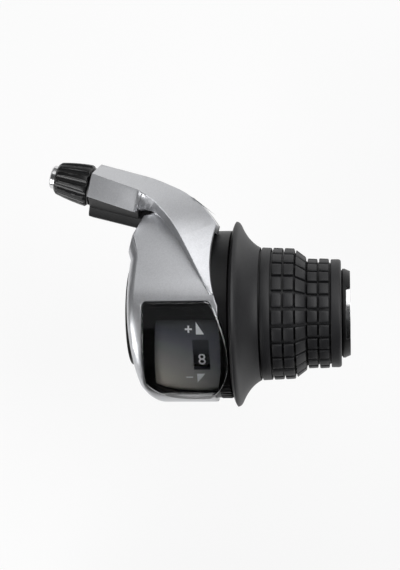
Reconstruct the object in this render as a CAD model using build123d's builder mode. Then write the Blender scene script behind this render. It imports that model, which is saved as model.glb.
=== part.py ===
from build123d import *
import os
from math import cos, radians, sin, sqrt, tan

os.makedirs("parts", exist_ok=True)

# Twist grip shifter, sizes in millimetres.
# X runs along the handlebar towards its open end, +Y points forward, +Z up.
# The origin is on the bar's axis, at the middle of the clamp ring.

# Clearances
static_gap = 0.1
running_gap = 0.07
moving_gap = 0.3
screw_gap = 0.1

# Handlebar, clamp ring and bar tube
bar_radius = 11.1
clamp_gap = 0.1
clamp_length = 11.0
clamp_wall = 3.6
clamp_slot = 1.6
clamp_relief = 1.0
relief_top = -4.0
ear_reach = 7.5
ear_drop = 8.0
ear_round = 1.5
clamp_screw_radius = 2.5
clamp_head_radius = 4.2
clamp_head_length = 4.0
clamp_nut_radius = 4.6
screw_seat = 2.5
tube_gap = 0.45
tube_wall = 1.1
tube_end = 59.1
hook_height = 0.45
hook_length = 1.5
tab_count = 3
tab_gap_angle = 72.0
tab_gap_depth = 1.2
end_ring_wall = 0.5
end_ring_length = 5.0

# Drum housing
end_wall = 1.8
drum_radius = 24.7
drum_wall = 1.5
drum_end = 24.7
rib_count = 6
rib_first = 54.0
rib_pitch = 5.0
rib_width = 0.6
rib_height = 0.35
rib_length = 3.2

# Cable spool, detent and the run of the cable
cable_radius = 0.6
cable_x = 17.5
spool_radius = 15.0
spool_rim = 2.0
spool_end = 20.5
washer_thickness = 1.0
click_count = 8
click_angle = 10.0
notch_radius = 1.3
notch_depth = 0.6
nipple_radius = 2.3
nipple_length = 5.0
nipple_angle = 200.0
lug_count = 3
lug_angle = 40.0
lug_length = 2.0
leaf_thickness = 0.4
leaf_width = 3.0
leaf_half_span = 9.0
leaf_x = 11.5
leaf_seat = 0.68
leaf_shoulder = 2.4
leaf_rise = 0.6
bump_width = 1.4
bump_height = 0.3
ledge_width = 3.2
elbow_y = 28.8
guide_bend = 13.5
guide_wall = 0.5
plug_radius = 3.2
plug_lip = 0.9
plug_head = 0.8
plug_angle = 135.0

# Cable arm and barrel adjuster
arm_tilt = 14.7
arm_reach = 33.0
arm_side_length = 18.0
arm_top_length = 15.0
arm_boss_length = 18.0
arm_boss_radius = 2.7
bolt_radius = 2.45
socket_radius = 2.55
socket_depth = 8.0
socket_wall = 0.85
tip_length = 1.6
tip_round = 0.4
click_ring_thickness = 0.55
click_ring_radius = 5.4
skirt_length = 4.8
skirt_wall = 1.0
key_width = 1.2
key_height = 0.6
spring_length = 3.5
spring_wire = 0.5
spring_turns = 3.0
insert_length = 6.0
insert_wall = 1.05
knob_length = 10.3
knob_radius = 6.1
knob_taper = 1.4
knob_round = 0.7
flute_count = 12
flute_radius = 1.0
flute_depth = 0.4

# Top cover
cover_wall = 1.1
cover_low = -6.0
floor_top = 9.0
floor_thickness = 2.5
nose_angle = 25.0
nose_reach = 36.0
shoulder_round = 2.5
duct_steps = 3
pillar_radius = 2.0
cover_screw_radius = 1.1
cover_screw_head = 2.0
cover_screw_length = 8.0

# Window
window_tilt = 31.0
window_left = 0.5
window_width = 24.1
window_half = 16.4
window_corner = 1.2
lens_proud = 0.3
lens_thickness = 1.3
frame_thickness = 1.3
display_thickness = 0.7
display_border = 1.0
slot_recess = 0.3
number_x = 17.1
number_angle = 33.9
number_width = 4.6
number_height = 4.5
panel_width = 5.4
panel_length = 8.8
panel_margin = 0.5

# Indicator ring and grip
ring_band = 0.9
ring_width = 6.7
ring_web = 0.8
display_gap = 0.5
sleeve_flange = 1.6
sleeve_neck_radius = 20.0
sleeve_waist_radius = 17.0
sleeve_end_radius = 14.6
grip_end = 56.5
flange_left = 25.03
flange_tip_radius = 27.4
flange_lip = 3.0
cone_drop = 2.8
sweep_along = 0.43
sweep_share = 0.39
flange_tip_width = 1.9
flange_skin = 0.6
sleeve_cone_edge = 1.0
tread_start = 33.2
tread_pitch = 3.34
tread_rows = 6
tread_blocks = 24
tread_depth = 1.1
ring_groove = 0.55
block_groove = 1.0
first_groove = 4.2
tread_top = 19.65
tread_fall = 0.14
slope_row = 3
slope_start = 18.7
slope_end = 16.7
tail_top = 16.2
collar_radius = 15.9
collar_round = 0.8

# Worked out from the sizes above
clamp_bore = bar_radius + clamp_gap
clamp_radius = clamp_bore + clamp_wall
tube_bore = bar_radius + tube_gap
tube_radius = tube_bore + tube_wall
clamp_left = -clamp_length / 2
wall_left = clamp_length / 2
wall_right = wall_left + end_wall
drum_bore = drum_radius - drum_wall
hook_radius = tube_radius + hook_height
hook_left = grip_end + moving_gap
spool_bore = tube_radius + running_gap
spool_top = spool_radius + spool_rim
spool_left = wall_right + washer_thickness + 2 * static_gap
cover_bore = drum_radius + static_gap
cover_radius = cover_bore + cover_wall
lens_outer = cover_radius + lens_proud
lens_inner = lens_outer - lens_thickness
frame_outer = lens_inner - static_gap
frame_inner = frame_outer - frame_thickness
display_outer = frame_inner - static_gap
display_inner = display_outer - display_thickness
ring_outer = display_inner - display_gap
arm_axis_z = spool_radius
arm_end_x = cable_x - arm_reach * cos(radians(arm_tilt))
arm_end_y = elbow_y + arm_reach * sin(radians(arm_tilt))
pocket_radius = bolt_radius + running_gap + skirt_wall + running_gap
pocket_depth = skirt_length + spring_length + 2 * static_gap
insert_radius = bolt_radius + running_gap + insert_wall
insert_end = pocket_depth + insert_length
guide_bore = cable_radius + 0.2
guide_radius = guide_bore + guide_wall
screw_z = -(clamp_radius + ear_drop / 2 - 1)
ear_bottom = clamp_radius + ear_drop
floor_bottom = floor_top - floor_thickness
ledge_near = leaf_half_span - ledge_width / 2
ledge_foot = sqrt(drum_bore**2 - ledge_near**2)
ledge_top = -(spool_top + leaf_seat * (ledge_foot - spool_top))
guide_start = sqrt((ring_outer + moving_gap) ** 2 - (arm_axis_z - guide_radius) ** 2)
bend_start = elbow_y - guide_bend * tan(radians(45 - arm_tilt / 2))
screw_hole = 2 * (cover_screw_length + screw_gap)
flange_foot_radius = flange_tip_radius - flange_lip
sleeve_cone_radius = flange_tip_radius - cone_drop
cover_screw_places = ((4.0, 25.6), (13.7, 32.6))

# Work planes: the arm's own planes start at its open end and run inwards
tilt_cos = cos(radians(arm_tilt))
tilt_sin = sin(radians(arm_tilt))
arm_end = (arm_end_x, arm_end_y, arm_axis_z)
arm_section = Plane(arm_end, x_dir=(tilt_sin, tilt_cos, 0), z_dir=(tilt_cos, -tilt_sin, 0))
arm_side = Plane(arm_end, x_dir=(tilt_cos, -tilt_sin, 0), z_dir=(-tilt_sin, -tilt_cos, 0))
arm_axis = Axis(arm_end, (tilt_cos, -tilt_sin, 0))
window_turn = radians(window_tilt)
window_plane = Plane((0, 0, 0), x_dir=(1, 0, 0), z_dir=(0, -sin(window_turn), cos(window_turn)))
plug_turn = radians(plug_angle)
plug_plane = Plane((cable_x, 0, 0), x_dir=(1, 0, 0), z_dir=(0, sin(plug_turn), cos(plug_turn)))


def turn(points, mode=Mode.ADD, plane=Plane.XZ, axis=Axis.X):
    with BuildSketch(plane) as profile:
        with BuildLine():
            Polyline(*points, close=True)
        make_face()
    revolve(profile.sketch, axis=axis, mode=mode)


def ring(left, right, inner, outer, mode=Mode.ADD, plane=Plane.XZ, axis=Axis.X):
    turn([(left, inner), (right, inner), (right, outer), (left, outer)], mode, plane, axis)


def block(low, high, mode=Mode.ADD):
    size = [high[i] - low[i] for i in range(3)]
    middle = tuple((high[i] + low[i]) / 2 for i in range(3))
    with Locations(middle):
        Box(*size, mode=mode)


# A place in the window's plane, in shares of its width and half height, moved outwards by a margin
def in_window(along, across, margin):
    side = margin if along > 0.5 else -margin
    end = margin if across > 0 else -margin
    return (window_left + along * window_width + side, across * window_half + end)


# Outline of the gear window, seen square on
def window_outline(margin):
    with BuildSketch(window_plane) as outline:
        with BuildLine():
            front = Line(in_window(0.02, 0.99, margin), in_window(0.8, 0.99, margin))
            right = ThreePointArc(front @ 1, in_window(1, 0.12, margin), in_window(0.75, -1, margin))
            rider = ThreePointArc(right @ 1, in_window(0.31, -0.95, margin), in_window(0, -0.51, margin))
            Line(rider @ 1, front @ 0)
        make_face()
        fillet(outline.vertices(), window_corner + margin)
    return outline.sketch


# Outline of the sunk display inside the window, seen square on
def display_outline(margin):
    with BuildSketch(window_plane) as outline:
        with BuildLine():
            front = Line(in_window(0.17, 0.695, margin), in_window(0.89, 0.695, margin))
            right = ThreePointArc(front @ 1, in_window(0.917, 0, margin), in_window(0.835, -0.805, margin))
            rider = ThreePointArc(right @ 1, in_window(0.456, -0.82, margin), in_window(0.12, -0.585, margin))
            Line(rider @ 1, front @ 0)
        make_face()
        fillet(outline.vertices(), window_corner + margin)
    return outline.sketch


# A piece of a tube wall around the bar, cut to the outline of the window or display
def wall_patch(outline, inner, outer):
    with BuildPart() as patch:
        # Drawn below the bar, so that the wall's seam stays clear of the window
        ring(-clamp_length, tube_end, -inner, -outer)
        extrude(outline, amount=2 * drum_radius, mode=Mode.INTERSECT)
    return patch.part


# Core of the arm: its low side runs into the body, its top fills the cover, a boss holds the guide
def arm_core(gap):
    low = floor_bottom - arm_axis_z
    side = [(-8.4, low), (-8.4, -3.2), (-7.6, -2.2), (-5.8, -1.0), (5.0, -1.0), (5.4, -2.8), (5.4, low)]
    top = [(-5.8, -1.0), (-3.6, 4.8), (2.2, 5.6), (5.0, -1.0)]
    with BuildPart() as core:
        for outline, reach in ((side, arm_side_length), (top, arm_top_length)):
            with BuildSketch(arm_section) as section:
                with BuildLine():
                    Polyline(*outline, close=True)
                make_face()
                if gap:
                    offset(amount=gap, kind=Kind.INTERSECTION, mode=Mode.REPLACE)
            extrude(section.sketch, amount=reach + gap)
        ring(0, arm_boss_length + gap, 0, arm_boss_radius + gap, Mode.ADD, arm_side, arm_axis)
    return core.part


# Outline of the cover's barrel seen from above
def cover_plan(inset):
    far = cover_radius + 1.1
    with BuildSketch() as plan:
        with BuildLine():
            flank = Polyline((0.2, 28.6), (-2.7, 22.9), (-3.9, 17.8), (-3.1, 15.4))
            side = ThreePointArc(flank @ 1, (-3.6, 0.0), (-1.4, -19.5))
            corner = ThreePointArc(side @ 1, (0.9, -23.6), (8.0, -far))
            Polyline(corner @ 1, (drum_end, -far), (drum_end, 22.0), (17.0, 27.0), (6.0, 30.0), flank @ 0)
        make_face()
        if inset:
            offset(amount=-inset, kind=Kind.INTERSECTION, mode=Mode.REPLACE)
    return plan.sketch


# Barrel of the cover: a teardrop seen along the bar, trimmed to its outline seen from above
def cover_barrel(inset):
    radius = cover_radius - inset
    nose = radians(nose_angle)
    shoulder = (radius * sin(nose), radius * cos(nose))
    tip = (nose_reach, shoulder[1] - (nose_reach - shoulder[0]) * sin(nose) / cos(nose))
    with BuildPart() as barrel:
        with BuildSketch(Plane.YZ.offset(-clamp_length)):
            with BuildLine():
                arc = ThreePointArc((-radius, 0), (-shoulder[0], shoulder[1]), shoulder)
                Polyline(arc @ 1, tip, (nose_reach, cover_low), (-radius, cover_low), arc @ 0)
            make_face()
        extrude(amount=clamp_length + drum_end)
        extrude(cover_plan(inset), amount=2 * drum_radius, both=True, mode=Mode.INTERSECT)
    return barrel.part


# Raised duct that carries the cable from the arm to the drum.
# Each station gives the ridge point seen from above, the heading of its section, then how far
# the left wall and the front facet reach, and how far three edges lie below the barrel's top.
def duct_stations():
    arm_heading = 90 - arm_tilt
    arm_first = (arm_end_x + 3.3 * tilt_sin, arm_end_y + 3.3 * tilt_cos)
    arm_last_x = arm_first[0] + 14.3 * tilt_cos - 1.4 * tilt_sin
    arm_last_y = arm_first[1] - 14.3 * tilt_sin - 1.4 * tilt_cos
    bend = [
        (-14.4, 4.4, 52.0, 3.8, 5.9, 7.9, 3.0, 12.7),
        (-11.5, 1.5, 37.0, 2.4, 7.9, 11.1, 2.7, 11.9),
        (-8.0, -2.8, 29.0, 2.4, 9.4, 10.3, 2.3, 10.7),
        (-4.4, -9.3, 22.0, 1.7, 10.2, 7.5, 1.7, 7.4),
        (-0.6, -17.0, 15.0, 0.9, 8.0, 3.7, 0.9, 4.1),
        (2.7, -23.3, 10.0, 0.4, 6.0, 1.5, 0.3, 1.1),
    ]
    return [
        (*arm_first, arm_heading, 6.7, 3.7, 4.5, 3.6, 13.4),
        (arm_last_x, arm_last_y, arm_heading, 6.4, 4.8, 4.9, 3.3, 13.4),
    ] + [(cable_x + dx, elbow_y + dy, *rest) for dx, dy, *rest in bend]


# Finer stations on a smooth course through the chosen ones; the arm itself stays straight
def duct_course():
    chosen = duct_stations()
    last = len(chosen) - 1
    along = [0.0]
    for here, there in zip(chosen, chosen[1:]):
        along.append(along[-1] + sqrt((there[0] - here[0]) ** 2 + (there[1] - here[1]) ** 2))

    def slope(index, item):
        low = max(index - 1, 1)
        high = min(index + 1, last)
        return (chosen[high][item] - chosen[low][item]) / (along[high] - along[low])

    course = [chosen[0]]
    for index in range(1, last):
        span = along[index + 1] - along[index]
        for step in range(duct_steps):
            t = step / duct_steps
            station = []
            for item in range(len(chosen[0])):
                near = chosen[index][item] * (1 + 2 * t) + span * slope(index, item) * t
                far = chosen[index + 1][item] * (3 - 2 * t) - span * slope(index + 1, item) * (1 - t)
                station.append(near * (1 - t) ** 2 + far * t * t)
            course.append(station)
    return course + [chosen[last]]


def cover_duct(inset, bottom):
    sections = []
    for x, y, heading, left, front, left_fall, ridge_fall, front_fall in duct_course():
        across = Vector(cos(radians(heading)), sin(radians(heading)), 0)
        left_edge = (-left, cover_radius - left_fall)
        ridge_edge = (0, cover_radius - ridge_fall)
        front_edge = (front, cover_radius - front_fall)
        with BuildSketch(Plane((x, y, 0), x_dir=across, z_dir=across.cross(Vector(0, 0, 1)))) as section:
            with BuildLine():
                Polyline((-left, bottom), left_edge, ridge_edge, front_edge, (front, bottom), close=True)
            make_face()
            if inset:
                offset(amount=-inset, kind=Kind.INTERSECTION, mode=Mode.REPLACE)
        sections.append(section.sketch)
    with BuildPart() as duct:
        loft(sections, ruled=True)
    return duct.part


# Limit of the cover towards the drum's open end
def right_limit():
    far = 2 * nose_reach
    with BuildSketch() as outline:
        with BuildLine():
            edge = Spline((23.2, 30.0), (20.5, 21.5), (20.0, 13.2), (20.6, 7.8), (22.2, 2.2))
            rider_edge = Polyline(edge @ 1, (22.2, -1.0), (19.8, -15.0), (19.8, -far), (-far, -far))
            Polyline(rider_edge @ 1, (-far, far), (23.2, far), edge @ 0)
        make_face()
    return outline.sketch


# Floor under the duct, from the outlines of the duct and of the barrel's nose
def nose_floor():
    left_side = []
    front_side = []
    for x, y, heading, left, front, *_ in duct_course():
        across = Vector(cos(radians(heading)), sin(radians(heading)), 0)
        left_side.append(Vector(x, y, 0) - across * left)
        front_side.append(Vector(x, y, 0) + across * front)
    with BuildPart() as floor:
        with BuildSketch() as outline:
            with BuildLine():
                Polyline(*left_side, *reversed(front_side), close=True)
            make_face()
            add(cover_plan(0))
            with Locations((0, clamp_radius + nose_reach)):
                Rectangle(4 * drum_radius, 2 * nose_reach, mode=Mode.INTERSECT)
            add(right_limit(), mode=Mode.INTERSECT)
        extrude(outline.sketch.moved(Location((0, 0, floor_bottom))), amount=floor_thickness)
        ring(wall_left, 2 * drum_end, 0, drum_bore + drum_wall / 2, mode=Mode.SUBTRACT)
    return floor.part


# Line of the cable guide: out of the drum, round the elbow and into the arm
def guide_line(start):
    with BuildLine() as line:
        run_in = Line((cable_x, start, arm_axis_z), (cable_x, bend_start, arm_axis_z))
        bend = JernArc(run_in @ 1, run_in % 1, guide_bend, 90 - arm_tilt)
        Line(bend @ 1, Vector(*arm_end) + Vector(tilt_cos, -tilt_sin, 0) * (insert_end + static_gap))
    return line.wires()[0]


window_cut = wall_patch(window_outline(static_gap), display_inner - static_gap, 2 * drum_radius)
base_arm = arm_core(0)
base_arm_room = arm_core(static_gap)
base_floor = nose_floor()
with BuildPart() as outer_barrel:
    add(cover_barrel(0))
    left_edges = outer_barrel.edges().filter_by_position(Axis.X, -clamp_length, 0)
    fillet(left_edges.filter_by_position(Axis.Z, 0.8 * cover_radius, 2 * cover_radius), shoulder_round)
inner_barrel = cover_barrel(cover_wall)
outer_duct = cover_duct(0, floor_top)
with BuildPart() as duct_room:
    add(cover_duct(cover_wall, floor_bottom - cover_wall))
    inner_limit = right_limit().moved(Location((-cover_wall, 0, 0)))
    extrude(inner_limit, amount=2 * drum_radius, both=True, mode=Mode.INTERSECT)

with BuildPart() as screw_pillars:
    for place in cover_screw_places:
        with Locations((*place, floor_top)):
            Cylinder(pillar_radius, drum_radius, align=(Align.CENTER, Align.CENTER, Align.MIN))
    add(outer_barrel.part.fuse(outer_duct), mode=Mode.INTERSECT)

with BuildPart() as base_bracket:
    add(base_floor)
    add(base_arm)
    turn(
        [
            (clamp_left, clamp_bore),
            (clamp_left, clamp_radius),
            (wall_left, clamp_radius),
            (wall_left, drum_radius),
            (drum_end, drum_radius),
            (drum_end, drum_bore),
            (wall_right, drum_bore),
            (wall_right, tube_radius),
            (hook_left, tube_radius),
            (hook_left, hook_radius),
            (hook_left + hook_length / 2, hook_radius),
            (tube_end, tube_radius - hook_height / 2),
            (tube_end, tube_bore),
            (wall_left, tube_bore),
            (wall_left, clamp_bore),
        ]
    )
    # Seat of the end ring, and the gaps that leave three snap tabs
    ring(tube_end - end_ring_length, tube_end, 0, tube_bore + end_ring_wall + static_gap, Mode.SUBTRACT)
    with BuildSketch(Plane.YZ.offset(tube_end - tab_gap_depth)):
        half_gap = radians(tab_gap_angle / 2)
        far = 2 * tube_radius
        with PolarLocations(0, tab_count, start_angle=90):
            Polygon((0, 0), (far, -far * tan(half_gap)), (far, far * tan(half_gap)), align=None)
    extrude(amount=2 * tab_gap_depth, mode=Mode.SUBTRACT)
    # Clamp ears with the slot, the relief beside the end wall, and the screw's hole and seats
    with BuildSketch(Plane.YZ.offset(clamp_left)):
        with Locations((0, -(clamp_bore + clamp_wall / 2 + ear_bottom) / 2)):
            RectangleRounded(2 * ear_reach, ear_bottom - clamp_bore - clamp_wall / 2, ear_round)
    extrude(amount=clamp_length)
    block(
        (clamp_left, -clamp_slot / 2, -2 * ear_bottom),
        (wall_left, clamp_slot / 2, -bar_radius / 2),
        Mode.SUBTRACT,
    )
    block(
        (wall_left - clamp_relief, -2 * ear_reach, -2 * ear_bottom),
        (wall_left, 2 * ear_reach, relief_top),
        Mode.SUBTRACT,
    )
    with BuildSketch(Plane.XZ):
        with Locations((0, screw_z)):
            Circle(clamp_screw_radius + screw_gap)
    extrude(amount=2 * ear_reach, both=True, mode=Mode.SUBTRACT)
    with BuildSketch(Plane.XZ.offset(ear_reach - screw_seat)):
        with Locations((0, screw_z)):
            Circle(clamp_head_radius + screw_gap)
    extrude(amount=2 * screw_seat, mode=Mode.SUBTRACT)
    with BuildSketch(Plane.XZ.offset(screw_seat - ear_reach)):
        with Locations((0, screw_z)):
            RegularPolygon(clamp_nut_radius + screw_gap, 6)
    extrude(amount=-2 * screw_seat, mode=Mode.SUBTRACT)
    # Short ribs on the rim, rider's side
    for index in range(rib_count):
        angle = radians(rib_first + rib_pitch * index)
        rib_middle = (drum_end - rib_length / 2, 0, 0)
        rib_plane = Plane(rib_middle, x_dir=(1, 0, 0), z_dir=(0, -sin(angle), cos(angle)))
        with BuildSketch(rib_plane.offset(drum_radius - rib_height)):
            Rectangle(rib_length, rib_width)
        extrude(amount=2 * rib_height)
    # Openings of the drum: gear window, cable outlet, cable hole
    add(window_cut, mode=Mode.SUBTRACT)
    with BuildSketch(Plane((cable_x, spool_radius / 2, arm_axis_z), z_dir=(0, 1, 0))):
        Circle(guide_radius + static_gap)
    sweep(path=guide_line(spool_radius / 2), mode=Mode.SUBTRACT)
    with BuildSketch(plug_plane.offset(drum_bore - drum_wall)):
        Circle(plug_radius + static_gap)
    extrude(amount=3 * drum_wall, mode=Mode.SUBTRACT)
    # Ledges that carry the detent spring's ends
    for side in (-1, 1):
        ledge_low = -ledge_foot - drum_wall / 4
        with Locations((leaf_x, side * leaf_half_span, (ledge_low + ledge_top) / 2)):
            Box(leaf_width + 1, ledge_width, ledge_top - ledge_low)
    # Bores of the arm
    ring(0, pocket_depth, 0, pocket_radius + running_gap, Mode.SUBTRACT, arm_side, arm_axis)
    ring(pocket_depth, insert_end, 0, insert_radius + static_gap, Mode.SUBTRACT, arm_side, arm_axis)
    key_room = key_width / 2 + static_gap
    with BuildSketch(arm_section):
        with Locations((0, -(pocket_radius + key_height) / 2)):
            Rectangle(2 * key_room, pocket_radius + key_height + 2 * static_gap)
    extrude(amount=pocket_depth, mode=Mode.SUBTRACT)
    # Holes of the cover screws
    for place in cover_screw_places:
        with Locations((*place, floor_bottom)):
            Cylinder(cover_screw_radius + screw_gap, screw_hole, mode=Mode.SUBTRACT)
base_bracket.part.label = "base_bracket"
export_step(base_bracket.part, "parts/base_bracket.step")

with BuildPart() as top_cover:
    add(outer_barrel.part)
    add(outer_duct)
    extrude(right_limit(), amount=2 * drum_radius, both=True, mode=Mode.INTERSECT)
    add(inner_barrel, mode=Mode.SUBTRACT)
    add(duct_room.part, mode=Mode.SUBTRACT)
    # Screw pillars under the roof
    add(screw_pillars.part)
    for place in cover_screw_places:
        with Locations((*place, floor_bottom)):
            Cylinder(cover_screw_radius + screw_gap, screw_hole, mode=Mode.SUBTRACT)
    # Lower edges: on the floor in front, below the window on the rider's side
    far = 2 * nose_reach
    block((-far, 0, -far), (far, far, floor_top), Mode.SUBTRACT)
    ring(-2 * clamp_length, wall_left, 0, clamp_radius + moving_gap, mode=Mode.SUBTRACT)
    add(base_arm_room, mode=Mode.SUBTRACT)
    extrude(window_outline(static_gap), amount=2 * drum_radius, mode=Mode.SUBTRACT)
top_cover.part.label = "top_cover"
export_step(top_cover.part, "parts/top_cover.step")

with BuildPart() as window_lens:
    add(wall_patch(window_outline(0), lens_inner, lens_outer))
window_lens.part.label = "window_lens"
export_step(window_lens.part, "parts/window_lens.step")

with BuildPart() as window_frame:
    add(wall_patch(window_outline(-static_gap), frame_inner, frame_outer))
    extrude(display_outline(0), amount=2 * drum_radius, mode=Mode.SUBTRACT)
window_frame.part.label = "window_frame"
export_step(window_frame.part, "parts/window_frame.step")

# Shallow panel with the opening that shows one number
number_middle = radians(number_angle)
number_plane = Plane(
    (number_x, -display_outer * sin(number_middle), display_outer * cos(number_middle)),
    x_dir=(1, 0, 0),
    z_dir=(0, -sin(number_middle), cos(number_middle)),
)
with BuildPart() as display_plate:
    add(wall_patch(display_outline(display_border), display_inner, display_outer))
    extrude(window_outline(-static_gap), amount=2 * drum_radius, mode=Mode.INTERSECT)
    with BuildSketch(number_plane):
        with Locations((0, panel_length / 2 - number_height / 2)):
            RectangleRounded(panel_width, panel_length + panel_margin, panel_margin)
    extrude(amount=-slot_recess, mode=Mode.SUBTRACT)
    with BuildSketch(number_plane):
        Rectangle(number_width, number_height)
    extrude(amount=2 * display_thickness, both=True, mode=Mode.SUBTRACT)
display_plate.part.label = "display_plate"
export_step(display_plate.part, "parts/display_plate.step")

# The numbers stand on a sector of a band, which leaves the cable's way out free
band_start = radians(number_angle - click_angle * (click_count - 0.5))
band_plane = Plane((0, 0, 0), x_dir=(1, 0, 0), z_dir=(0, -cos(band_start), -sin(band_start)))
with BuildPart() as indicator_ring:
    ring(spool_end - ring_web, spool_end, spool_top + static_gap, ring_outer)
    with BuildSketch(band_plane):
        with Locations((spool_end - ring_width / 2, ring_outer - ring_band / 2)):
            Rectangle(ring_width, ring_band)
    revolve(axis=Axis.X, revolution_arc=click_angle * click_count)
indicator_ring.part.label = "indicator_ring"
export_step(indicator_ring.part, "parts/indicator_ring.step")

with BuildPart() as cable_spool:
    groove = cable_radius + static_gap
    turn(
        [
            (spool_left, spool_bore),
            (spool_left, spool_top),
            (cable_x - 2 * groove, spool_top),
            (cable_x - groove, spool_radius - cable_radius),
            (cable_x + groove, spool_radius - cable_radius),
            (cable_x + 2 * groove, spool_top),
            (spool_end, spool_top),
            (spool_end, spool_bore),
        ]
    )
    # Detent notches, one for each position
    with BuildSketch(Plane.YZ.offset(spool_left)):
        notch_middle = spool_top - notch_depth + notch_radius
        notch_sweep = -click_angle * (click_count - 1)
        with PolarLocations(notch_middle, click_count, 270, notch_sweep, endpoint=True):
            Circle(notch_radius)
    extrude(amount=leaf_x + leaf_width / 2 + moving_gap - spool_left, mode=Mode.SUBTRACT)
    # Pocket for the cable's end
    with BuildSketch(Plane.YZ.offset(spool_end)):
        with PolarLocations(spool_radius, 1, start_angle=nipple_angle):
            Circle(nipple_radius - cable_radius)
    extrude(amount=-nipple_length, mode=Mode.SUBTRACT)
    # Lugs that drive the spool from the sleeve
    with BuildSketch(Plane.YZ.offset(spool_end)):
        Circle(spool_top)
        Circle(spool_bore, mode=Mode.SUBTRACT)
        half_lug = radians(lug_angle / 2)
        far = 2 * spool_top
        with BuildSketch(mode=Mode.INTERSECT):
            with PolarLocations(0, lug_count, start_angle=90):
                Polygon((0, 0), (far, -far * tan(half_lug)), (far, far * tan(half_lug)), align=None)
    extrude(amount=lug_length)
cable_spool.part.label = "cable_spool"
export_step(cable_spool.part, "parts/cable_spool.step")

with BuildPart() as thrust_washer:
    ring(
        wall_right + static_gap,
        wall_right + static_gap + washer_thickness,
        tube_radius + static_gap,
        spool_top,
    )
thrust_washer.part.label = "thrust_washer"
export_step(thrust_washer.part, "parts/thrust_washer.step")

# Outline of the sleeve, which also shapes the inside of the rubber
cone_left = flange_left + flange_skin
cone_foot = tread_start - tread_pitch / 2
waist_end = tread_start + slope_row * tread_pitch
sleeve_outline = [
    (spool_end, spool_bore),
    (spool_end, ring_outer),
    (spool_end + sleeve_flange, ring_outer),
    (spool_end + sleeve_flange, sleeve_neck_radius),
    (cone_left, sleeve_neck_radius),
    (cone_left, sleeve_cone_radius),
    (cone_left + sleeve_cone_edge, sleeve_cone_radius),
    (cone_foot, sleeve_waist_radius),
    (waist_end, sleeve_waist_radius),
    (waist_end + tread_pitch, sleeve_end_radius),
    (grip_end, sleeve_end_radius),
    (grip_end, spool_bore),
]

with BuildPart() as grip_sleeve:
    turn(sleeve_outline)
    with BuildSketch(Plane.YZ.offset(spool_end)):
        Circle(spool_top + static_gap)
        half_slot = radians(lug_angle / 2) + static_gap / spool_bore
        far = 2 * spool_top
        with BuildSketch(mode=Mode.INTERSECT):
            with PolarLocations(0, lug_count, start_angle=90):
                Polygon((0, 0), (far, -far * tan(half_slot)), (far, far * tan(half_slot)), align=None)
    extrude(amount=lug_length + static_gap, mode=Mode.SUBTRACT)
grip_sleeve.part.label = "grip_sleeve"
export_step(grip_sleeve.part, "parts/grip_sleeve.step")


# Radius of the tread's top at either end of a row
def row_top(row):
    if row == slope_row:
        return slope_start, slope_end
    if row > slope_row:
        return tail_top, tail_top - tread_fall
    top = tread_top - tread_fall * row
    return top, top - tread_fall


# Outline of the tread: a groove, then a block, for each row
def tread_outline():
    points = []
    for row in range(tread_rows):
        left = tread_start + row * tread_pitch
        first, last = row_top(row)
        points += [
            (left - ring_groove / 2, first - tread_depth),
            (left + ring_groove / 2, first - tread_depth),
            (left + ring_groove / 2, first),
            (left + tread_pitch - ring_groove / 2, last),
        ]
    return points


tread_end = tread_start + tread_rows * tread_pitch + ring_groove / 2

with BuildSketch(Plane.XZ) as sleeve_room:
    with BuildLine():
        Polyline(*sleeve_outline, close=True)
    make_face()
    offset(amount=static_gap / 2, kind=Kind.INTERSECTION, mode=Mode.REPLACE)

with BuildPart() as grip_rubber:
    with BuildSketch(Plane.XZ) as rubber_profile:
        with BuildLine():
            tip = (flange_left + flange_tip_width / 2 + 0.1, flange_tip_radius)
            face = Line((flange_left, spool_bore), (flange_left, flange_foot_radius))
            lip = ThreePointArc(face @ 1, (flange_left + 0.45, flange_tip_radius - 1.15), tip)
            crown = ThreePointArc(lip @ 1, (tip[0] + 0.75, tip[1] - 0.35), (tip[0] + 1.3, tip[1] - 1.2))
            foot = (tread_start - ring_groove / 2, tread_top)
            sweep_x = (crown @ 1).X + sweep_along * (foot[0] - (crown @ 1).X)
            sweep_r = foot[1] + sweep_share * ((crown @ 1).Y - foot[1])
            sweep_in = ThreePointArc(crown @ 1, (sweep_x, sweep_r), foot)
            collar = [
                (tread_end - ring_groove, collar_radius - tread_depth),
                (tread_end, collar_radius - tread_depth),
                (tread_end, collar_radius),
                (grip_end - collar_round, collar_radius),
            ]
            outside = Polyline(sweep_in @ 1, *tread_outline(), *collar)
            edge = ThreePointArc(
                outside @ 1,
                (grip_end - 0.3 * collar_round, collar_radius - 0.3 * collar_round),
                (grip_end, collar_radius - collar_round),
            )
            Polyline(edge @ 1, (grip_end, spool_bore), face @ 0)
        make_face()
        add(sleeve_room.sketch_local, mode=Mode.SUBTRACT)
    revolve(axis=Axis.X)
    # Grooves along the bar that part the rows into blocks
    with BuildSketch(Plane.XZ) as groove_side:
        with BuildLine():
            floor = [(tread_start, row_top(0)[0] - tread_depth)]
            for row in range(tread_rows):
                right = tread_start + (row + 1) * tread_pitch
                floor += [(right - ring_groove, row_top(row)[1] - tread_depth)]
            floor += [(right, row_top(row)[1] - tread_depth)]
            Polyline(*floor, (right, 2 * tread_top), (tread_start, 2 * tread_top), close=True)
        make_face()
    groove_bar = extrude(groove_side.sketch, amount=block_groove / 2, both=True, mode=Mode.PRIVATE)
    for index in range(tread_blocks):
        turn_angle = index * 360 / tread_blocks - first_groove
        add(groove_bar.rotate(Axis.X, turn_angle), mode=Mode.SUBTRACT)
grip_rubber.part.label = "grip_rubber"
export_step(grip_rubber.part, "parts/grip_rubber.step")

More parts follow.
